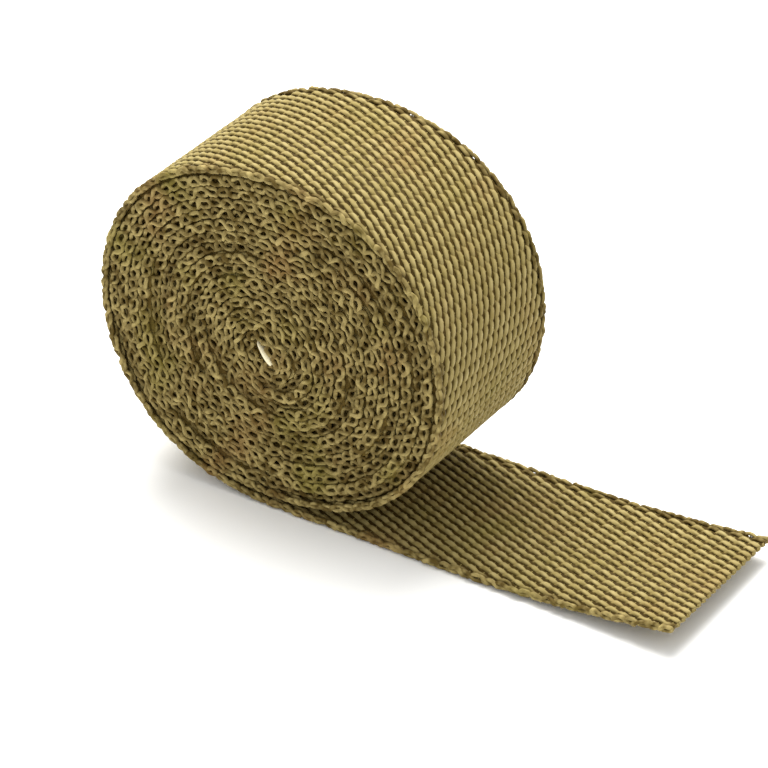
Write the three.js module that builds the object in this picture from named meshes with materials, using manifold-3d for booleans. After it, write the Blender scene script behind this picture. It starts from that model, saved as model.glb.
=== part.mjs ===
// Exhaust heat wrap: a flat woven tape wound on itself without a core, with its outer end run out on the floor.
// Millimetres, +Z up. The tail runs along +X and the roll's axis lies along Y.
// The wound tape is one turned solid. Its eye goes right through, and a spiral groove in each end parts its turns.

import * as THREE from "three";
import { mergeVertices } from "three/addons/utils/BufferGeometryUtils.js";
import Module from "manifold-3d";

// The tape, and the air between its turns.
const TAPE_WIDTH = 50;
const TAPE_THICKNESS = 2.4;
const TURN_GAP = 0.6;

// The roll. Its own weight makes it sag: its top and bottom come in by the sag and its sides go out by as much.
// It is also a little square, so that it stands on more of its underside than a round roll would.
const ROLL_RADIUS = 51.9;
const SAG = 1.9;
const SQUARENESS = 0.5;

// The eye, which the turns press almost shut. It lies below the roll's centre, on the side away from the tail, and
// slants down towards the tail by this many degrees.
const EYE_LENGTH = 8.4;
const EYE_WIDTH = 2.4;
const EYE_SLANT = 51;
const EYE_SIDE = 2.2;
const EYE_DROP = 4.4;

// The tail lies flat as far as the flat length, and then curls up from the floor to its cut end.
const TAIL_LENGTH = 117.5;
const TAIL_FLAT_LENGTH = 50;
const TAIL_LIFT = 5.2;

// The roll's underside closes on the tail about this far from the line where the tail leaves the roll.
const PINCH_LENGTH = 6;

// The groove between the turns. It starts and stops these shares of a turn outside the pinch and before the eye.
const SEAM_DEPTH = 1.4;
const SEAM_WIDTH = 1.1;
const SEAM_LEAD_SHARE = 0.01;
const SEAM_STOP_SHARE = 0.6;

// How finely the curves are cut into straight steps.
const OUTER_STEPS = 72;
const SEAM_STEPS_PER_TURN = 24;
const CURVE_SEGMENTS = 12;
const MERGE_DISTANCE = 1e-4;

const TAPE_COLOUR = 0xa8955f;
const TAPE_ROUGHNESS = 0.9;

const FULL_TURN = 2 * Math.PI;
const eyeSlant = THREE.MathUtils.degToRad(EYE_SLANT);
const eyeRadius = (EYE_LENGTH + EYE_WIDTH) / 4;
const eyeStretch = (EYE_LENGTH - EYE_WIDTH) / 4;
const turnPitch = TAPE_THICKNESS + TURN_GAP;
const turnCount = (ROLL_RADIUS - eyeRadius) / turnPitch;
const centreHeight = ROLL_RADIUS - SAG - SQUARENESS;
const pinchTurn = 1 - Math.asin(PINCH_LENGTH / ROLL_RADIUS) / FULL_TURN;

const wasm = await Module();
wasm.setup();

// A point on the outer face of the tape, this many turns inwards from the line where the tail leaves the roll.
// Seen with the tail to the right, the turns run up the left side and over the top. All but the outer turn drift
// towards the eye, and take its shape.
function windingPoint(turn, outwards = 0) {
  const angle = turn * FULL_TURN;
  const inward = Math.max(turn - 1, 0) / (turnCount - 1);
  const sagging = -SAG * Math.cos(2 * angle) - SQUARENESS * Math.cos(4 * angle);
  const pressed = -eyeStretch * Math.cos(2 * (angle - eyeSlant));
  const round = ROLL_RADIUS - turnPitch * turn + outwards;
  const radius = round + (1 - inward) * sagging + inward * pressed;
  return new THREE.Vector2(
    -inward * EYE_SIDE - radius * Math.sin(angle),
    centreHeight - inward * EYE_DROP - radius * Math.cos(angle),
  );
}

// The end view: along the floor under the tail, back over the tail, and then round the outer turn to the start.
function endOutline() {
  const curlMiddle = (TAIL_FLAT_LENGTH + TAIL_LENGTH) / 2;
  const top = TAPE_THICKNESS;
  const outline = new THREE.Shape();
  outline.moveTo(0, 0);
  outline.lineTo(TAIL_FLAT_LENGTH, 0);
  outline.quadraticCurveTo(curlMiddle, 0, TAIL_LENGTH, TAIL_LIFT);
  outline.lineTo(TAIL_LENGTH, TAIL_LIFT + top);
  outline.quadraticCurveTo(curlMiddle, top, TAIL_FLAT_LENGTH, top);
  outline.lineTo(windingPoint(pinchTurn).x, top);
  for (let step = OUTER_STEPS; step > 0; step--) {
    const point = windingPoint((pinchTurn * step) / OUTER_STEPS);
    outline.lineTo(point.x, point.y);
  }
  outline.holes.push(eyeOutline());
  return outline;
}

function eyeOutline() {
  const eye = new THREE.Path();
  const height = centreHeight - EYE_DROP;
  eye.absellipse(-EYE_SIDE, height, EYE_LENGTH / 2, EYE_WIDTH / 2, 0, FULL_TURN, true, -eyeSlant);
  return eye;
}

// The line between the turns on one end. It is stepped by equal angles, so the tight inner turns stay smooth.
class SeamLine extends THREE.Curve {
  constructor(depth) {
    super();
    this.depth = depth;
  }

  getPoint(share) {
    const turn = THREE.MathUtils.lerp(pinchTurn - SEAM_LEAD_SHARE, turnCount - SEAM_STOP_SHARE, share);
    const point = windingPoint(turn, TURN_GAP / 2);
    return new THREE.Vector3(point.x, point.y, this.depth);
  }

  getUtoTmapping(share) {
    return share;
  }
}

// A diamond swept along the seam, half of it inside the roll.
function seamCutter(depth) {
  const diamond = new THREE.Shape();
  diamond.moveTo(SEAM_DEPTH, 0);
  diamond.lineTo(0, SEAM_WIDTH / 2);
  diamond.lineTo(-SEAM_DEPTH, 0);
  diamond.lineTo(0, -SEAM_WIDTH / 2);
  const steps = Math.ceil(turnCount * SEAM_STEPS_PER_TURN);
  return new THREE.ExtrudeGeometry(diamond, { steps, extrudePath: new SeamLine(depth) });
}

// The geometry as a solid that can be cut.
function solidOf(geometry) {
  geometry.deleteAttribute("normal");
  geometry.deleteAttribute("uv");
  const merged = mergeVertices(geometry, MERGE_DISTANCE);
  const triVerts = new Uint32Array(merged.index.array);
  const vertProperties = merged.attributes.position.array;
  return new wasm.Manifold(new wasm.Mesh({ numProp: 3, vertProperties, triVerts }));
}

function geometryOf(solid) {
  const { vertProperties, triVerts } = solid.getMesh();
  const geometry = new THREE.BufferGeometry();
  geometry.setAttribute("position", new THREE.BufferAttribute(vertProperties, 3));
  geometry.setIndex(new THREE.BufferAttribute(triVerts, 1));
  return geometry;
}

function heatWrap() {
  const roll = new THREE.ExtrudeGeometry(endOutline(), {
    depth: TAPE_WIDTH,
    bevelEnabled: false,
    curveSegments: CURVE_SEGMENTS,
  });
  const grooved = solidOf(roll).subtract(solidOf(seamCutter(0))).subtract(solidOf(seamCutter(TAPE_WIDTH)));
  const geometry = geometryOf(grooved);
  geometry.computeVertexNormals();
  const material = new THREE.MeshStandardMaterial({
    color: TAPE_COLOUR,
    roughness: TAPE_ROUGHNESS,
    metalness: 0,
  });
  const mesh = new THREE.Mesh(geometry, material);
  mesh.name = "heat_wrap";
  return mesh;
}

// The end view is drawn upright and swept away from the viewer. The origin is midway along the whole length,
// midway across the tape, and on the floor.
const wrap = heatWrap();
const ends = new THREE.Box3().setFromBufferAttribute(wrap.geometry.getAttribute("position"));
const group = new THREE.Group();
wrap.rotation.x = Math.PI / 2;
wrap.position.set(-(ends.min.x + ends.max.x) / 2, TAPE_WIDTH / 2, -ends.min.y);
group.add(wrap);

export default group;
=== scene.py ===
# %% [markdown]
# # Exhaust heat wrap
# A roll of woven tape, 50 mm wide, that is wound round hot exhaust pipes to keep their heat in. It stands
# on its outer turn, and its outer end runs out over the floor. The lesson weaves the tape flat, yarn by
# yarn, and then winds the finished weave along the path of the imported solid.

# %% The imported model
import math

import bpy
import numpy as np
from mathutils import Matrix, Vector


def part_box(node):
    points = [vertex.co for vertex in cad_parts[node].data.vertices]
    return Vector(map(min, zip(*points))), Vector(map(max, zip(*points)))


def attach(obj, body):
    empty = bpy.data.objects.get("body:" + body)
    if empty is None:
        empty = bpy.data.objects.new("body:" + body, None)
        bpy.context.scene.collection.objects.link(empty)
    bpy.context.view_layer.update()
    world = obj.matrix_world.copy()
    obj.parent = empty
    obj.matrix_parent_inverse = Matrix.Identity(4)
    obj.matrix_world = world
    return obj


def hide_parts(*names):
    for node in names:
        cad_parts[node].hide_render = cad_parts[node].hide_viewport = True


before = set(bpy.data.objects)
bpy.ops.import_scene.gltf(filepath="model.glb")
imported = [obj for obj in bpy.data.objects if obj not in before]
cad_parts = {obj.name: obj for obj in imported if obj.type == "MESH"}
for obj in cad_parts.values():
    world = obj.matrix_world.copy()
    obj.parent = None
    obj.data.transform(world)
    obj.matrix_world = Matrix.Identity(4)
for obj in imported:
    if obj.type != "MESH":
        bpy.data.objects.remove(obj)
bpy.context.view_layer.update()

# %% [markdown]
# ## Camera
# The photograph is taken from well above the roll and to the right of its end face, with a long lens. The
# lens and the place are worked out from the roll's outline in a picture of 768 by 768 pixels, so the
# picture needs no shift.

# %% Camera
IMAGE_PIXELS = 768
FOCAL_PIXELS = 4000
SENSOR_WIDTH = 36
CAMERA_PLACE = (0.45415, -0.72361, 0.57517)
CAMERA_AZIMUTH = 32.93
CAMERA_ELEVATION = 32.27

camera_data = bpy.data.cameras.new("camera")
camera_data.sensor_width = SENSOR_WIDTH
camera_data.lens = SENSOR_WIDTH * FOCAL_PIXELS / IMAGE_PIXELS
camera = bpy.data.objects.new("camera", camera_data)
camera.location = CAMERA_PLACE
camera.rotation_euler = (math.radians(90 - CAMERA_ELEVATION), 0, math.radians(CAMERA_AZIMUTH))
bpy.context.collection.objects.link(camera)
bpy.context.scene.camera = camera
print("the lens is", camera_data.lens, "mm long")

# %% [markdown]
# ## Light
# The roll stands in a white studio. A pale sky lights every side, and a large soft lamp above it, a little
# to the left and behind, makes the outer turn and the tail brighter than the end face. The Standard view
# keeps the colours as they are mixed.

# %% Light
SKY_STRENGTH = 0.86
KEY_PLACE = (-0.38, 0.42, 1.30)
KEY_SIZE = 1.0
KEY_POWER = 33

bpy.context.scene.view_settings.view_transform = "Standard"

world = bpy.data.worlds.new("studio")
world.use_nodes = True
world.node_tree.nodes["Background"].inputs["Color"].default_value = (1, 1, 1, 1)
world.node_tree.nodes["Background"].inputs["Strength"].default_value = SKY_STRENGTH
bpy.context.scene.world = world


def soft_lamp(name, place, size, power):
    """A square lamp that faces the middle of the roll: its local -Z is turned to point from its place at
    the roll."""
    data = bpy.data.lights.new(name, "AREA")
    data.size = size
    data.energy = power
    lamp = bpy.data.objects.new(name, data)
    lamp.location = place
    aim = lamp.location * -1
    lamp.rotation_euler = aim.to_track_quat("-Z", "Y").to_euler()
    bpy.context.collection.objects.link(lamp)


soft_lamp("key_lamp", KEY_PLACE, KEY_SIZE, KEY_POWER)
print("the sky's strength is", SKY_STRENGTH, "and the key lamp's power is", KEY_POWER, "W")

# %% [markdown]
# ## Helpers for materials
# Colours are written as on a colour chart, in sRGB hex, and turned to the linear numbers that the shader
# wants. One function adds a node of any kind, with its settings and links, and four short ones add the
# nodes that come back often, so that each material reads as a list of its steps.

# %% Helpers for materials
def linear(hex_colour):
    """Linear RGBA of an sRGB hex colour: below 0.04045 a channel is divided by 12.92, and above it, it
    is ((c + 0.055) / 1.055) to the power 2.4."""
    channels = [int(hex_colour[i:i + 2], 16) / 255 for i in (1, 3, 5)]
    return (*[c / 12.92 if c <= 0.04045 else ((c + 0.055) / 1.055) ** 2.4 for c in channels], 1)


def add(tree, kind, settings=None, links=None):
    """Add one node. Settings go to its properties, or to its sockets where the name is a socket's name
    or number; links join its sockets to outputs of earlier nodes."""
    node = tree.nodes.new(kind)
    for name, value in (settings or {}).items():
        if isinstance(name, int) or (name in node.inputs and not hasattr(node, name)):
            node.inputs[name].default_value = value
        else:
            setattr(node, name, value)
    for name, source in (links or {}).items():
        tree.links.new(source, node.inputs[name])
    return node


def maths(tree, operation, settings, links):
    """One step of arithmetic. Its numbered inputs are settings or links."""
    return add(tree, "ShaderNodeMath", {"operation": operation, **settings}, links).outputs[0]


def mixed(tree, settings, links):
    """A mix of two colours: input 0 is the share of the colour at input 7, and the rest is input 6."""
    return add(tree, "ShaderNodeMix", {"data_type": "RGBA", **settings}, links).outputs[2]


def noise(tree, size, detail, place):
    """Cloudy noise from 0 to 1, with clouds of about this size."""
    settings = {"Scale": 1 / size, "Detail": detail}
    return add(tree, "ShaderNodeTexNoise", settings, {"Vector": place}).outputs["Fac"]


def ramp(tree, value, start, stop, height):
    """0 where the value is at the start, rising evenly to the height where it is at the stop."""
    settings = {"From Min": start, "From Max": stop, "To Max": height}
    return add(tree, "ShaderNodeMapRange", settings, {"Value": value}).outputs["Result"]


def new_material(name):
    """An empty node material, with its tree and its output node."""
    material = bpy.data.materials.new(name)
    material.use_nodes = True
    material.node_tree.nodes.clear()
    output = material.node_tree.nodes.new("ShaderNodeOutputMaterial")
    return material, material.node_tree, output


# %% [markdown]
# ## Floor
# A plain pale board, much larger than the view. It is painted a flat white, so it takes only a soft shadow.

# %% Floor
FLOOR_HALF = 3.0
FLOOR_WHITE = "#FAFAF8"
FLOOR_ROUGHNESS = 0.9

floor_corners = [(FLOOR_HALF * x, FLOOR_HALF * y, 0) for x, y in ((-1, -1), (1, -1), (1, 1), (-1, 1))]
floor_mesh = bpy.data.meshes.new("floor")
floor_mesh.from_pydata(floor_corners, [], [(0, 1, 2, 3)])
floor = bpy.data.objects.new("floor", floor_mesh)
bpy.context.collection.objects.link(floor)

white_board, tree, output = new_material("matt_white_board")
board = {"Base Color": linear(FLOOR_WHITE), "Roughness": FLOOR_ROUGHNESS}
shader = add(tree, "ShaderNodeBsdfPrincipled", board)
tree.links.new(shader.outputs["BSDF"], output.inputs["Surface"])
floor_mesh.materials.append(white_board)
print("the floor is", 2 * FLOOR_HALF, "m wide")

# %% [markdown]
# ## The tape's path
# The tape is a flat strip, so one line gives its whole shape: where the middle of its thickness runs, seen
# from the end. The line starts at the tail's cut end, comes in along the floor, goes up the left side of
# the roll and round it sixteen times. It could be drawn by hand as a curve, but then it would miss the
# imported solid. Here it is the same winding that the solid was drawn with: each turn is 3 mm further in, the
# outer turns sag a little under their own weight, and the inner ones are pressed towards an almost closed
# eye.

# %% The tape's measures
MM = 0.001
FULL_TURN = 2 * math.pi
TAPE_WIDTH = 50 * MM
TAPE_THICKNESS = 2.4 * MM
TURN_PITCH = 3.0 * MM
ROLL_RADIUS = 51.9 * MM
SAG = 1.9 * MM
SQUARENESS = 0.5 * MM
EYE_LENGTH = 8.4 * MM
EYE_WIDTH = 2.4 * MM
EYE_SLANT = math.radians(51)
EYE_SIDE = 2.2 * MM
EYE_DROP = 4.4 * MM
TAIL_LENGTH = 117.5 * MM
TAIL_FLAT_LENGTH = 50 * MM
TAIL_LIFT = 5.2 * MM

eye_radius = (EYE_LENGTH + EYE_WIDTH) / 4
eye_stretch = (EYE_LENGTH - EYE_WIDTH) / 4
turn_count = (ROLL_RADIUS - eye_radius) / TURN_PITCH
centre_height = ROLL_RADIUS - SAG - SQUARENESS
contact_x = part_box("heat_wrap")[1][0] - TAIL_LENGTH
print("the tape is wound", round(turn_count, 1), "times and touches the floor at x =", contact_x)


# %% The winding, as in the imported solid
def winding(turn):
    """Points on the tape's outer face, this many turns in from the floor. The radius falls by one pitch
    a turn. The sag takes cos 2a and cos 4a off it and fades inwards, and the eye's shape takes cos 2(a -
    slant) off it."""
    angle = turn * FULL_TURN
    inward = np.maximum(turn - 1, 0) / (turn_count - 1)
    sagging = -SAG * np.cos(2 * angle) - SQUARENESS * np.cos(4 * angle)
    pressed = -eye_stretch * np.cos(2 * (angle - EYE_SLANT))
    radius = ROLL_RADIUS - TURN_PITCH * turn + (1 - inward) * sagging + inward * pressed
    across = contact_x - inward * EYE_SIDE - radius * np.sin(angle)
    height = centre_height - inward * EYE_DROP - radius * np.cos(angle)
    return np.stack([across, height], axis=-1)


def tail_face(run):
    """Points under the tail, this far from the floor line: flat, and then a parabola up to the tail's
    lift."""
    curl = np.maximum(run - TAIL_FLAT_LENGTH, 0) / (TAIL_LENGTH - TAIL_FLAT_LENGTH)
    return np.stack([contact_x + run, TAIL_LIFT * curl ** 2], axis=-1)


# %% [markdown]
# The tape's inner end stops a third of a turn before the eye is reached. The outer turn ends where the tape
# has passed the floor line for the second time, and from there on the tape is hidden but for its edges.

# %% The middle line
TAIL_SAMPLES = 400
SAMPLES_PER_TURN = 360
TURNS_LEFT_OUT = 0.3
OUTER_TURN_END = 1.04

last_turn = turn_count - TURNS_LEFT_OUT
tail_runs = np.linspace(TAIL_LENGTH, 0, TAIL_SAMPLES, endpoint=False)
turns = np.linspace(0, last_turn, round(last_turn * SAMPLES_PER_TURN))
face = np.concatenate([tail_face(tail_runs), winding(turns)])
heading = np.gradient(face, axis=0)
heading /= np.linalg.norm(heading, axis=1, keepdims=True)
facing_out = np.stack([-heading[:, 1], heading[:, 0]], axis=1)
middle = face - facing_out * TAPE_THICKNESS / 2
steps = np.linalg.norm(np.diff(middle, axis=0), axis=1)
run_at = np.concatenate([[0], np.cumsum(steps)])
tape_length = run_at[-1]
contact_run = run_at[TAIL_SAMPLES]
first_turn_run = np.interp(OUTER_TURN_END, turns, run_at[TAIL_SAMPLES:])
print("the tape is", round(tape_length, 3), "m long, of which the tail is", round(contact_run, 3), "m")

# %% [markdown]
# ## From the flat weave to the roll
# A weaver makes the tape flat, and only then is it wound up. The mesh is made the same way round. Every
# yarn is first laid out in tape measures: along the tape from the cut end, across it, and outwards from the
# middle of its thickness. One function then carries any such point to its place in the roll. The photograph
# also shows the near corner of the tail curling up more than the far one, so the tail's lift leans a
# little.

# %% From the flat weave to the roll
TAIL_LEAN = 0.95 * MM


def wound(flat):
    """Carry points (along, across, outwards) to the roll: the middle line's point at that length, plus
    outwards times the line's normal, with the distance across as y. Over the curl, the lift leans by its
    square and by y."""
    along, across, outwards = flat[..., 0], flat[..., 1], flat[..., 2]
    line = [np.interp(along, run_at, middle[:, i]) for i in (0, 1)]
    normal = [np.interp(along, run_at, facing_out[:, i]) for i in (0, 1)]
    x = line[0] + outwards * normal[0]
    curl = np.maximum(contact_run - TAIL_FLAT_LENGTH - along, 0) / (TAIL_LENGTH - TAIL_FLAT_LENGTH)
    z = line[1] + outwards * normal[1] - TAIL_LEAN * curl ** 2 * across / (TAPE_WIDTH / 2)
    return np.stack([x, across, z], axis=-1)


# %% [markdown]
# ## One mesh for many yarns
# The tape has thousands of yarn bends. An object for each would be slow, and so would Blender's curves.
# Instead the yarns of one kind are one mesh: a grid of yarns by steps by sides, worked out as whole arrays.
# A step is an oval ring round the yarn's line, wider across the tape where the yarn is pressed flat on the
# top of a bend. Each yarn keeps a UV map, round it and along it in millimetres, that its twist follows, and
# two numbers at every point: a tone of its own, and how deep it lies in the weave.

# %% One mesh for many yarns
# How far in from the end face the painted shade of the yarns grows to its full.
EDGE_DEPTH = 2.0 * MM
YARN_SIDES = 6
EDGE_SIDES = 5
SQUARE = {"sides": 4, "first_angle": math.pi / 4}


def yarn_object(name, line, half_width, half_height, tone, material, sides=YARN_SIDES, first_angle=0.0):
    """Tubes round lines of shape (yarns, steps, 3) in tape measures. A point of a ring is the line plus
    half_width times the cosine along the side vector, which is the heading crossed with outwards, plus
    half_height times the sine along the side vector crossed with the heading. The first and last rings
    are closed with a flat cap."""
    yarns, rings = line.shape[:2]
    heading = np.gradient(line, axis=1)
    heading /= np.linalg.norm(heading, axis=2, keepdims=True)
    side = np.cross(heading, (0, 0, 1.0))
    side /= np.linalg.norm(side, axis=2, keepdims=True)
    top = np.cross(side, heading)
    turn = first_angle + np.arange(sides) * FULL_TURN / sides
    half_width = np.broadcast_to(half_width, (yarns, rings))[..., None, None]
    half_height = np.broadcast_to(half_height, (yarns, rings))[..., None, None]
    ring = (half_width * np.cos(turn)[:, None] * side[:, :, None]
            + half_height * np.sin(turn)[:, None] * top[:, :, None])
    flat = line[:, :, None] + ring
    points = wound(flat)
    # How deep a point lies under the faces and in from the end face. The yarn materials darken by it, as
    # painted shade.
    under_face = 1 - np.abs(flat[..., 2]) / (TAPE_THICKNESS / 2)
    inside_edge = (TAPE_WIDTH / 2 - np.abs(flat[..., 1])) / EDGE_DEPTH
    depth = np.clip(np.minimum(under_face, inside_edge), 0, 1)

    number = np.arange(yarns * rings * sides).reshape(yarns, rings, sides)
    after = np.roll(number, -1, axis=2)
    quads = np.stack([number[:, :-1], number[:, 1:], after[:, 1:], after[:, :-1]], axis=-1).reshape(-1, 4)
    starts = number[:, 0]
    ends = number[:, -1, ::-1]
    caps = np.concatenate([starts, ends])
    corners = np.concatenate([quads.ravel(), caps.ravel()])
    first = np.concatenate([np.arange(len(quads)) * 4, quads.size + np.arange(len(caps)) * sides])

    mesh = bpy.data.meshes.new(name)
    mesh.vertices.add(number.size)
    mesh.vertices.foreach_set("co", points.astype(np.float32).ravel())
    mesh.loops.add(len(corners))
    mesh.loops.foreach_set("vertex_index", corners.astype(np.int32))
    mesh.polygons.add(len(first))
    mesh.polygons.foreach_set("loop_start", first.astype(np.int32))
    mesh.polygons.foreach_set("use_smooth", np.arange(len(first)) < len(quads))
    mesh.update(calc_edges=True)

    lengths = np.linalg.norm(np.diff(line, axis=1), axis=2)
    run = np.concatenate([np.zeros((yarns, 1)), np.cumsum(lengths, axis=1)], axis=1)
    run = np.broadcast_to((run / MM)[..., None], number.shape)
    left = np.broadcast_to(np.arange(sides) / sides, number.shape)[:, :-1]
    right = left + 1 / sides
    u = np.stack([left, left, right, right], axis=-1)
    v = np.stack([run[:, :-1], run[:, 1:], run[:, 1:], run[:, :-1]], axis=-1)
    chart = np.stack([u, v], axis=-1).reshape(-1, 2)
    chart = np.concatenate([chart, np.zeros((caps.size, 2))])
    mesh.uv_layers.new(name="yarn").data.foreach_set("uv", chart.astype(np.float32).ravel())
    tone = np.broadcast_to(np.asarray(tone)[..., None], number.shape)
    for label, values in (("tone", tone), ("depth", depth)):
        attribute = mesh.attributes.new(label, "FLOAT", "POINT")
        attribute.data.foreach_set("value", values.astype(np.float32).ravel())

    mesh.materials.append(material)
    piece = bpy.data.objects.new(name, mesh)
    bpy.context.collection.objects.link(piece)
    print(name, "has", 2 * len(quads) + len(caps) * (sides - 2), "triangles")
    return piece


# %% [markdown]
# ## Yarn
# Heat wrap is woven from thick yarns of glass or basalt filament with a tan heat-proof size. The yarns are
# two plies twisted together, dull, and uneven in colour, with a few greener and redder stretches. So the
# colour starts from the tape's tan, each yarn's tone and small flecks shift it, and patches come from noise
# in the object's own space about a centimetre and a half across. Then shade is painted on: the depth in the
# weave mixes the colour towards a dark shade colour, so the hollows are darker than their real shadows make
# them, and the grooves between the plies are darkened a little too. The twist is a wave round and along the
# yarn, whose lay is in millimetres as the yarn's map is. Glass filament is about a hundredth of a millimetre
# thick, far too fine for a picture of the whole roll. The filament noise is drawn at a quarter of a
# millimetre, which is coarser than the real thing.

# %% Yarn
PLIES = 2
PLY_LAY = 6.9
# How much painted shade the grooves between the plies get.
GROOVE_SHADE_SHARE = 0.15
GROOVE_START, GROOVE_STOP = -0.2, -1.0
PATCH_SIZE = 15 * MM
PATCH_START, PATCH_STOP = 0.56, 0.78
PATCHES = (("#8A8238", 0.0), ("#9C7848", 7.0))
FLECK_SIZE = 2.5 * MM
FLECK_CONTRAST = 1.4
FILAMENT_SIZE = 0.25 * MM
FILAMENT_SHARE = 0.5
TWIST_BUMP = {"Strength": 0.6, "Distance": 0.15 * MM}
YARN_FINISH = {"Roughness": 0.7, "IOR": 1.5, "Specular IOR Level": 0.15}


def yarn_material(name, light, dark, deep, painted_shade_share, patch_share):
    """Tan twisted yarn: a mix of the light and the dark colour by the yarn's tone and a fleck noise,
    shifted to green and red by two patch noises. Painted shade follows: a mix to the deep colour by the
    depth times its share, and a little in the twist's grooves. The height is the twist, a sine of the
    plies times the turn round the yarn plus the run along it over the lay, with a filament noise."""
    material, tree, output = new_material(name)
    place = add(tree, "ShaderNodeTexCoord").outputs["Object"]
    tone = add(tree, "ShaderNodeAttribute", {"attribute_name": "tone"}).outputs["Fac"]
    depth = add(tree, "ShaderNodeAttribute", {"attribute_name": "depth"}).outputs["Fac"]
    chart = add(tree, "ShaderNodeUVMap", {"uv_map": "yarn"}).outputs["UV"]
    parts = add(tree, "ShaderNodeSeparateXYZ", {}, {"Vector": chart}).outputs

    fleck = noise(tree, FLECK_SIZE, 2, place)
    shift = maths(tree, "MULTIPLY_ADD", {1: FLECK_CONTRAST, 2: -FLECK_CONTRAST / 2}, {0: fleck})
    mixing = maths(tree, "ADD", {"use_clamp": True}, {0: shift, 1: tone})
    body = mixed(tree, {6: linear(dark), 7: linear(light)}, {0: mixing})

    for colour, offset in PATCHES:
        move = {"Location": (offset, 0, 0)}
        moved = add(tree, "ShaderNodeMapping", move, {"Vector": place}).outputs["Vector"]
        patch = ramp(tree, noise(tree, PATCH_SIZE, 1, moved), PATCH_START, PATCH_STOP, patch_share)
        body = mixed(tree, {7: linear(colour)}, {0: patch, 6: body})

    # Painted shade: the deeper a point lies in the weave, the more of the deep colour it takes.
    painted_hollow_shade = maths(tree, "MULTIPLY", {1: painted_shade_share, "use_clamp": True}, {0: depth})
    body = mixed(tree, {7: linear(deep)}, {0: painted_hollow_shade, 6: body})

    spin = maths(tree, "MULTIPLY", {1: PLIES * FULL_TURN}, {0: parts["X"]})
    wave = maths(tree, "MULTIPLY_ADD", {1: FULL_TURN / PLY_LAY}, {0: parts["Y"], 2: spin})
    twist = maths(tree, "SINE", {}, {0: wave})
    # Painted shade in the grooves between the plies: where the twist is low, a little of the deep colour.
    painted_groove_shade = ramp(tree, twist, GROOVE_START, GROOVE_STOP, GROOVE_SHADE_SHARE)
    body = mixed(tree, {7: linear(deep)}, {0: painted_groove_shade, 6: body})
    filament = noise(tree, FILAMENT_SIZE, 1, place)
    height = maths(tree, "MULTIPLY_ADD", {1: FILAMENT_SHARE}, {0: filament, 2: twist})
    bump = add(tree, "ShaderNodeBump", TWIST_BUMP, {"Height": height})

    surface = {"Base Color": body, "Normal": bump.outputs["Normal"]}
    shader = add(tree, "ShaderNodeBsdfPrincipled", YARN_FINISH, surface)
    tree.links.new(shader.outputs["BSDF"], output.inputs["Surface"])
    return material


# Each deep colour is the painted shade colour of its yarn, and its share says how much depth darkens it.
twisted_yarn = yarn_material("twisted_tan_glass_yarn", light="#B4A46F", dark="#988853", deep="#7A6830",
                             painted_shade_share=0.75, patch_share=0.3)
edge_yarn = yarn_material("tan_selvedge_yarn", light="#AA9860", dark="#5E4D20", deep="#45330A",
                          painted_shade_share=0.85, patch_share=0.45)
# The hidden weave is the yarn painted much darker, as painted shade: the core shows only in the shade between
# the yarns.
hidden_weave_in_painted_shade = yarn_material("tan_weave_in_painted_shade", light="#75622A", dark="#5A4718", deep="#2E2002",
                             painted_shade_share=0.9, patch_share=0.3)
print("made", twisted_yarn.name, "and", edge_yarn.name, "and", hidden_weave_in_painted_shade.name)

# %% [markdown]
# ## Uneven yarns
# Nothing woven is quite even. A sum of a few slow waves with seeded random phases gives each yarn its own
# drift, without a jump anywhere along it. Each kind of drift is written as three numbers: how much, and the
# shortest and the longest of its waves.

# %% Uneven yarns
SEED = 20
DRIFT_WAVES = 6
WAVE_SPREAD = (0.9, 1.1)

random = np.random.default_rng(SEED)


def drift(run, count, amount, shortest, longest):
    """A smooth random number about -1 to 1, times the amount, for each of count yarns: a sum of waves
    over the root of their number. Their lengths are spread between the shortest and the longest, and
    each has a random phase."""
    spread = random.uniform(*WAVE_SPREAD, (count, DRIFT_WAVES))
    lengths = np.geomspace(shortest, longest, DRIFT_WAVES) * spread
    phases = random.uniform(0, FULL_TURN, (count, DRIFT_WAVES))
    waves = np.sin(run[..., None] * FULL_TURN / lengths[:, None] + phases[:, None])
    return amount * waves.sum(axis=-1) / math.sqrt(DRIFT_WAVES)


# %% [markdown]
# ## Loose edges
# Inside the roll nothing presses on the tape's edges from outside, so they open up there: the yarns of the
# edge swing further out than on the tail and the outer turn. Some stretches of the tape also lie a little
# further in than their neighbours, which gives the end face its dark arcs: partly real shadow in the
# recess, and partly painted shade, as the yarn colour darkens with the depth in from the end face.

# %% Loose edges
TIGHT_SWING = 0.5 * MM
LOOSE_SWING = 0.95 * MM
LOOSENING_LENGTH = 60 * MM
EDGE_INSET = 1.5 * MM
INSET_DRIFT = (1.0, 50 * MM, 400 * MM)

inset_at = {sign: drift(run_at[None], 1, *INSET_DRIFT)[0] for sign in (-1, 1)}


def loosened(run):
    """0 on the tail and the outer turn, and 1 inside the roll."""
    return np.clip((run - first_turn_run) / LOOSENING_LENGTH, 0, 1)


def edge_swing(run):
    """How far the yarns of the edge swing out: tight on the tail and the outer turn, and loose inside
    the roll."""
    return TIGHT_SWING + (LOOSE_SWING - TIGHT_SWING) * loosened(run)


def edge_inset(sign, run):
    """How far one edge of the tape lies in from the end face: inside the roll, the inset times a slow
    random number held between 0 and 1."""
    return EDGE_INSET * loosened(run) * np.clip(np.interp(run, run_at, inset_at[sign]), 0, 1)


print("the edges lie up to", EDGE_INSET / MM, "mm in from the end faces")

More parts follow.
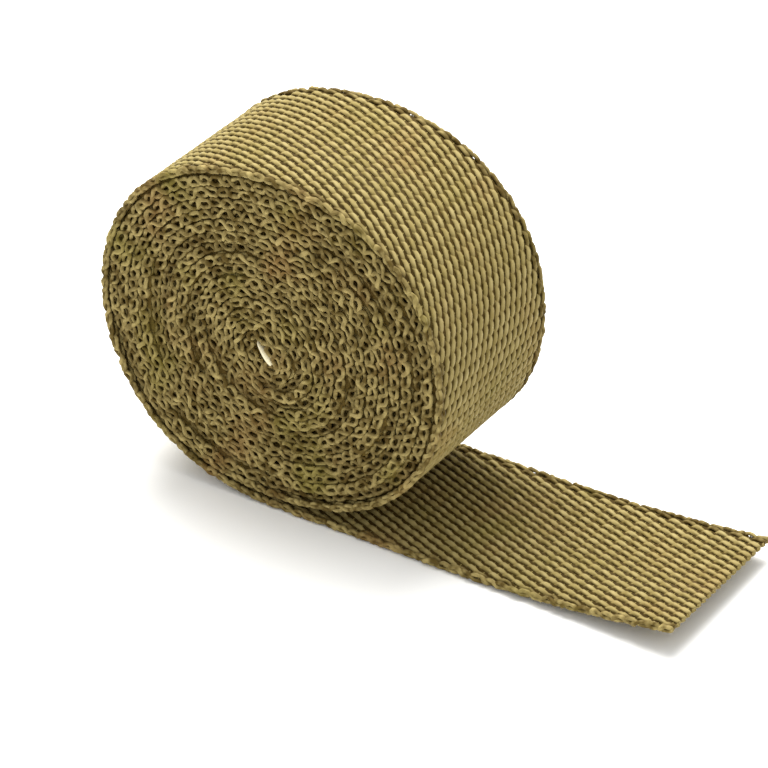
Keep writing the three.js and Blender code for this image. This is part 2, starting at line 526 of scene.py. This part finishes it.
# %% [markdown]
# ## Warp
# The long yarns of the tape are its warp. There are 39 of them, 1.28 mm apart, and they hide the cross
# yarns almost wholly. Each goes over one cross yarn and under the next, out of step with its neighbours,
# which gives the face its brick pattern of slanted grains. A picture of the weave wrapped on a plain band
# would look flat from the side, so each grain is real: a cosine up and down, with a little sine sideways
# for the slant. Only the tail and the outer turn are woven across their full width, because the inner turns
# show only their edges. The yarns are split into three pieces across the width, so no piece is too heavy.
# The habit of a yarn says how it bends and how uneven it is, and there is one habit for the middle of the
# tape and one for its edges.

# %% Warp
WARP_COUNT = 39
WARP_PITCH = 1.28 * MM
PICK_PITCH = 3.38 * MM
CRIMP = 0.45 * MM
HALF_WIDTH = 0.64 * MM
HALF_HEIGHT = 0.55 * MM
STEPS_PER_PICK = 6
CUT_UNEVENNESS = 0.25 * MM
MIDDLE_TONE = 0.5
TONE_SPREAD = 0.18
EDGE_FLAT_TOP = 0.2
EDGE_YARNS = 2

MIDDLE_HABIT = {
    "flat_top": 0.12,
    "slant": -0.48 * MM,
    "crown_spread": 0.18 * MM,
    "crown_press": 0.05 * MM,
    "phase_drift": (0, 4 * MM, 30 * MM),
    "crimp_drift": (0.08, 5 * MM, 60 * MM),
    "place_drift": (0.07 * MM, 6 * MM, 80 * MM),
    "height_drift": (0, 2.5 * MM, 12 * MM),
    "tone_drift": (0.18, 4 * MM, 30 * MM),
}
EDGE_HABIT = {
    "flat_top": EDGE_FLAT_TOP,
    "slant": -0.24 * MM,
    "crown_spread": -0.02 * MM,
    "crown_press": 0,
    "phase_drift": (0.35, 4 * MM, 30 * MM),
    "crimp_drift": (0.18, 5 * MM, 60 * MM),
    "place_drift": (0.15 * MM, 6 * MM, 80 * MM),
    "height_drift": (0.12, 2.5 * MM, 12 * MM),
    "tone_drift": (0.45, 2 * MM, 30 * MM),
}


def warp_line(index, run, habit, edge):
    """The line of warp yarns: outwards is the crimp times cos(phase), flattened on top by a little of
    cos(3 phase), and the sideways place is the yarn's own, plus the slant times sin(phase). The phase is
    pi times the picks passed, plus pi for every other yarn. Edge is -1 or 1 for the yarns of that edge,
    which swing out and lie in with it."""
    count = len(index)
    phase = math.pi * (run / PICK_PITCH - 0.5 + index[:, None]) + drift(run, count, *habit["phase_drift"])
    wave = (1 + habit["flat_top"]) * np.cos(phase) - habit["flat_top"] * np.cos(3 * phase)
    crimp = edge_swing(run) if edge else CRIMP
    crimp = crimp * (1 + drift(run, count, *habit["crimp_drift"]))
    across = (index[:, None] - (WARP_COUNT - 1) / 2) * WARP_PITCH
    across = across + habit["slant"] * np.sin(phase)
    across = across + drift(run, count, *habit["place_drift"])
    if edge:
        across = across - edge * edge_inset(edge, run)
    return np.stack([run, across, crimp * wave], axis=-1), np.cos(phase)


def warp_piece(name, index, stop, material, sides=YARN_SIDES, habit=MIDDLE_HABIT, edge=0):
    """Warp yarns of these numbers from the tail's cut end to a length along the tape, each with its own
    uneven start. Towards its crown, where cos(phase) squared is 1, a yarn gets wider and flatter."""
    count = round(stop / PICK_PITCH * STEPS_PER_PICK) + 1
    run = np.broadcast_to(np.linspace(0, stop, count), (len(index), count))
    cut = random.uniform(0, CUT_UNEVENNESS, (len(index), 1))
    run = cut + run * (1 - cut / stop)
    line, swing = warp_line(index, run, habit, edge)
    crown = swing ** 2
    half_width = HALF_WIDTH + habit["crown_spread"] * crown
    half_height = HALF_HEIGHT - habit["crown_press"] * crown
    half_height = half_height * (1 + drift(run, len(index), *habit["height_drift"]))
    tone = MIDDLE_TONE + TONE_SPREAD * random.standard_normal((len(index), 1))
    tone = tone + drift(run, len(index), *habit["tone_drift"])
    return yarn_object(name, line, half_width, half_height, tone, material, sides)


full = np.arange(EDGE_YARNS, WARP_COUNT - EDGE_YARNS)
warps = [warp_piece(f"warp_yarns_{part}", index, first_turn_run, twisted_yarn)
         for part, index in zip(("near", "middle", "far"), np.array_split(full, 3))]

# %% [markdown]
# The two outermost warp yarns at each edge are the ones that the end faces show, so these go all the way in
# to the eye. They are the same yarns, made with fewer sides, because there is only their edge to see.
# Nothing holds them as tightly as the middle of the tape does, so they are less even.

# %% Edge warps
near_index = np.arange(EDGE_YARNS)
far_index = WARP_COUNT - EDGE_YARNS + near_index
edges = [warp_piece(f"edge_yarns_{part}", index, tape_length, edge_yarn, EDGE_SIDES, EDGE_HABIT, edge)
         for part, index, edge in (("near", near_index, -1), ("far", far_index, 1))]

# %% [markdown]
# ## Weft
# The cross yarns are pressed thin between the warp yarns and are almost wholly hidden. They run straight
# across and bend only a little, the other way from each warp yarn, so that here and there one shows as a
# small bar at the bottom of a hollow. One lies at every pick, 3.38 mm apart.

# %% Weft
WEFT_CRIMP = 0.05 * MM
WEFT_RADIUS = 0.25 * MM
# The weft's tone is set lower than the warp's, as painted shade for the bottom of the hollows where it shows.
WEFT_SHADE_TONE = 0.3

picks = np.arange(int(first_turn_run / PICK_PITCH))
stations = np.arange(WARP_COUNT)
weft_run = np.broadcast_to(((picks + 0.5) * PICK_PITCH)[:, None], (len(picks), WARP_COUNT))
weft_across = np.broadcast_to((stations - (WARP_COUNT - 1) / 2) * WARP_PITCH, weft_run.shape)
weft_out = -WEFT_CRIMP * np.cos(math.pi * (picks[:, None] + stations))
weft_line = np.stack([weft_run, weft_across, weft_out], axis=-1)
weft = yarn_object("weft_yarns", weft_line, WEFT_RADIUS, WEFT_RADIUS, WEFT_SHADE_TONE, twisted_yarn, **SQUARE)

# %% [markdown]
# ## Selvedges
# At each edge the weft turns back round the outermost warp yarn, from below it to above it and down again.
# Where the warp yarn goes up the weft goes down, so seen from the end of the roll they cross once a pick
# and leave a dark, round hole between two crossings. The weft's turns aren't even, and the yarn swells
# where it crosses.

# %% Selvedges
SELVEDGE_ACROSS = 24.2 * MM
SELVEDGE_BULGE = 0.3 * MM
SELVEDGE_RADIUS = 0.55 * MM
SELVEDGE_LEAST = 0.95
SELVEDGE_SWELLING = 0.2
SELVEDGE_STEPS = 7
PHASE_DRIFT = (0.4, 5 * MM, 30 * MM)
SWING_DRIFT = (0.2, 4 * MM, 40 * MM)
SLOW_DRIFT = (0.15 * MM, 40 * MM, 300 * MM)
QUICK_DRIFT = (0.09 * MM, 5 * MM, 25 * MM)
BULGE_DRIFT = (0.3, 4 * MM, 30 * MM)
RADIUS_DRIFT = (0.2, 2 * MM, 10 * MM)
TONE_DRIFT = (0.5, 2 * MM, 20 * MM)


def selvedge_piece(name, sign, index):
    """The weft's way round the edge: outwards is minus the swing times cos(phase), flattened on top as
    the warp is, which is the other way from the warp yarn of this number. Across is the selvedge's place
    plus the bulge times sin(phase) squared, and the radius swells with it. The phase turns half round
    with each pick."""
    run = np.linspace(0, tape_length, round(tape_length / PICK_PITCH * SELVEDGE_STEPS) + 1)[None]
    phase = math.pi * (run / PICK_PITCH - 0.5 + index) + drift(run, 1, *PHASE_DRIFT)
    swing = edge_swing(run) * (1 + drift(run, 1, *SWING_DRIFT))
    wander = drift(run, 1, *SLOW_DRIFT) + drift(run, 1, *QUICK_DRIFT)
    bulge = SELVEDGE_BULGE * (1 + drift(run, 1, *BULGE_DRIFT))
    across = SELVEDGE_ACROSS - edge_inset(sign, run) + wander + bulge * np.sin(phase) ** 2
    wave = (1 + EDGE_FLAT_TOP) * np.cos(phase) - EDGE_FLAT_TOP * np.cos(3 * phase)
    line = np.stack([run, sign * across, -swing * wave], axis=-1)
    radius = SELVEDGE_RADIUS * (SELVEDGE_LEAST + SELVEDGE_SWELLING * np.sin(phase) ** 2)
    radius = radius * (1 + drift(run, 1, *RADIUS_DRIFT))
    tone = MIDDLE_TONE + drift(run, 1, *TONE_DRIFT)
    return yarn_object(name, line, radius, radius, tone, edge_yarn)


selvedges = [selvedge_piece("selvedge_near", -1, 0), selvedge_piece("selvedge_far", 1, WARP_COUNT - 1)]

# %% [markdown]
# ## Core
# Behind the yarns that show, the rest of the weave is hidden for the whole length of the tape. One plain
# ribbon stands for it, from the cut end to the eye. It is thin where both faces of the weave show, and it
# fills the roll inside the first turn. It is the sheet of cloth that the yarns lie on, cut 50 mm wide. Its
# colours and tone are much darker than the yarns', as painted shade, because it only shows in the shade
# between them. Where it is hidden it is thicker than the tape, and a little more outwards, so that no
# daylight shows between the turns from one end of the roll to the other. The ribbon is a square tube, whose
# corners are the square root of 2 further out than its sides.

# %% Core
CORE_HALF_WIDTH = 23.8 * MM
CORE_SETBACK = 0.7 * MM
CORE_HALF_HEIGHT = 0.2 * MM
CORE_START = 0.6 * MM
CORE_STOP = 0.2 * MM
HIDDEN_HALF_HEIGHT = 1.9 * MM
HIDDEN_OUTWARDS = 0.3 * MM
THICKENING_LENGTH = 30 * MM
CORE_STEP = 1.5 * MM
# A low tone, as painted shade.
CORE_SHADE_TONE = 0.2

core_count = round(tape_length / CORE_STEP)
core_run = np.linspace(CORE_START, tape_length - CORE_STOP, core_count)[None]
near_inset, far_inset = edge_inset(-1, core_run), edge_inset(1, core_run)
hidden = np.clip((core_run - first_turn_run) / THICKENING_LENGTH, 0, 1)
core_line = np.stack([core_run, (near_inset - far_inset) / 2, HIDDEN_OUTWARDS * hidden], axis=-1)
core_half_height = CORE_HALF_HEIGHT + (HIDDEN_HALF_HEIGHT - CORE_HALF_HEIGHT) * hidden
core_half_width = CORE_HALF_WIDTH - CORE_SETBACK * hidden - (near_inset + far_inset) / 2
core = yarn_object("tape_core", core_line, core_half_width * math.sqrt(2), core_half_height * math.sqrt(2),
                   CORE_SHADE_TONE, hidden_weave_in_painted_shade, **SQUARE)

# %% [markdown]
# ## Inner end
# In the eye the photograph shows a bright, cream sliver: the tape's inner end, folded into the slit, where
# the raw fibre has kept its pale colour because the heat-proof size doesn't cover it. It is a flat tuft, so
# it is a lens-shaped section, thicker at its lower end, carried straight in along the roll's axis from a
# rounded front. Its strands are a noise stretched along that axis, and drawn coarser than real filament for
# the same reason as before.

# %% Inner end
TUFT_HALF_LENGTH = 4.0 * MM
TUFT_HALF_WIDTH = 0.85 * MM
TUFT_TAPER = 0.45
TUFT_FRONT = -24.6 * MM
TUFT_BACK = -8 * MM
TUFT_BACK_SHARE = 0.35
TUFT_ROUNDING = 1.2 * MM
TUFT_SIDES = 28
TUFT_RINGS = 9
FIRST_RING = 0.02
RING_CROWDING = 1.5
STRAND_WIDTH = 0.4 * MM
STRAND_LENGTH = 6 * MM
RAW_DARK, RAW_LIGHT = "#E2D3A0", "#FFF8DC"
RAW_BUMP = {"Strength": 0.4, "Distance": 0.1 * MM}
RAW_FINISH = {"Roughness": 0.6, "IOR": 1.5}

raw_fibre, tree, output = new_material("raw_cream_glass_fibre")
place = add(tree, "ShaderNodeTexCoord").outputs["Object"]
stretch = {"Scale": (1 / STRAND_WIDTH, 1 / STRAND_LENGTH, 1 / STRAND_WIDTH)}
stretched = add(tree, "ShaderNodeMapping", stretch, {"Vector": place}).outputs["Vector"]
strands = noise(tree, 1, 2, stretched)
body = mixed(tree, {6: linear(RAW_DARK), 7: linear(RAW_LIGHT)}, {0: strands})
bump = add(tree, "ShaderNodeBump", RAW_BUMP, {"Height": strands}).outputs["Normal"]
shader = add(tree, "ShaderNodeBsdfPrincipled", RAW_FINISH, {"Base Color": body, "Normal": bump})
tree.links.new(shader.outputs["BSDF"], output.inputs["Surface"])


def tuft_piece():
    """Rings of a lens: at an angle a, the point is cos a times the half length along the slit, and sin a
    times the half width times (1 - taper cos a) across it. Within the rounding of the front, the rings
    shrink towards it as sqrt(1 - (1 - d / rounding)^2), and the last ring, deep in the roll, is the
    back's share of the full size."""
    depth = TUFT_ROUNDING * np.linspace(FIRST_RING, 1, TUFT_RINGS) ** RING_CROWDING
    depth = np.concatenate([depth, [TUFT_BACK - TUFT_FRONT]])
    shrink = np.sqrt(1 - (1 - np.minimum(depth / TUFT_ROUNDING, 1)) ** 2)
    shrink[-1] = TUFT_BACK_SHARE
    angle = np.arange(TUFT_SIDES) * FULL_TURN / TUFT_SIDES
    along = TUFT_HALF_LENGTH * np.cos(angle) * shrink[:, None]
    across = TUFT_HALF_WIDTH * np.sin(angle) * (1 - TUFT_TAPER * np.cos(angle)) * shrink[:, None]
    x = contact_x - EYE_SIDE - along * math.cos(EYE_SLANT) + across * math.sin(EYE_SLANT)
    z = centre_height - EYE_DROP + along * math.sin(EYE_SLANT) + across * math.cos(EYE_SLANT)
    y = np.broadcast_to(TUFT_FRONT + depth[:, None], x.shape)
    points = np.stack([x, y, z], axis=-1).reshape(-1, 3)
    number = np.arange(x.size).reshape(x.shape)
    after = np.roll(number, -1, axis=1)
    quads = np.stack([number[:-1], number[1:], after[1:], after[:-1]], axis=-1).reshape(-1, 4)
    mesh = bpy.data.meshes.new("inner_end")
    mesh.from_pydata(points.tolist(), [], [*quads.tolist(), number[0].tolist(), number[-1, ::-1].tolist()])
    mesh.polygons.foreach_set("use_smooth", np.ones(len(mesh.polygons), dtype=bool))
    mesh.materials.append(raw_fibre)
    piece = bpy.data.objects.new("inner_end", mesh)
    bpy.context.collection.objects.link(piece)
    return piece


inner_end = tuft_piece()
print("the inner end has", len(inner_end.data.polygons), "faces")

# %% [markdown]
# ## The frame
# Every piece rides with the one body and stands for the imported solid, which is hidden.

# %% The frame
pieces = [*warps, *edges, weft, *selvedges, core, inner_end]
for piece in pieces:
    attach(piece, "root")
    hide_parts("heat_wrap")
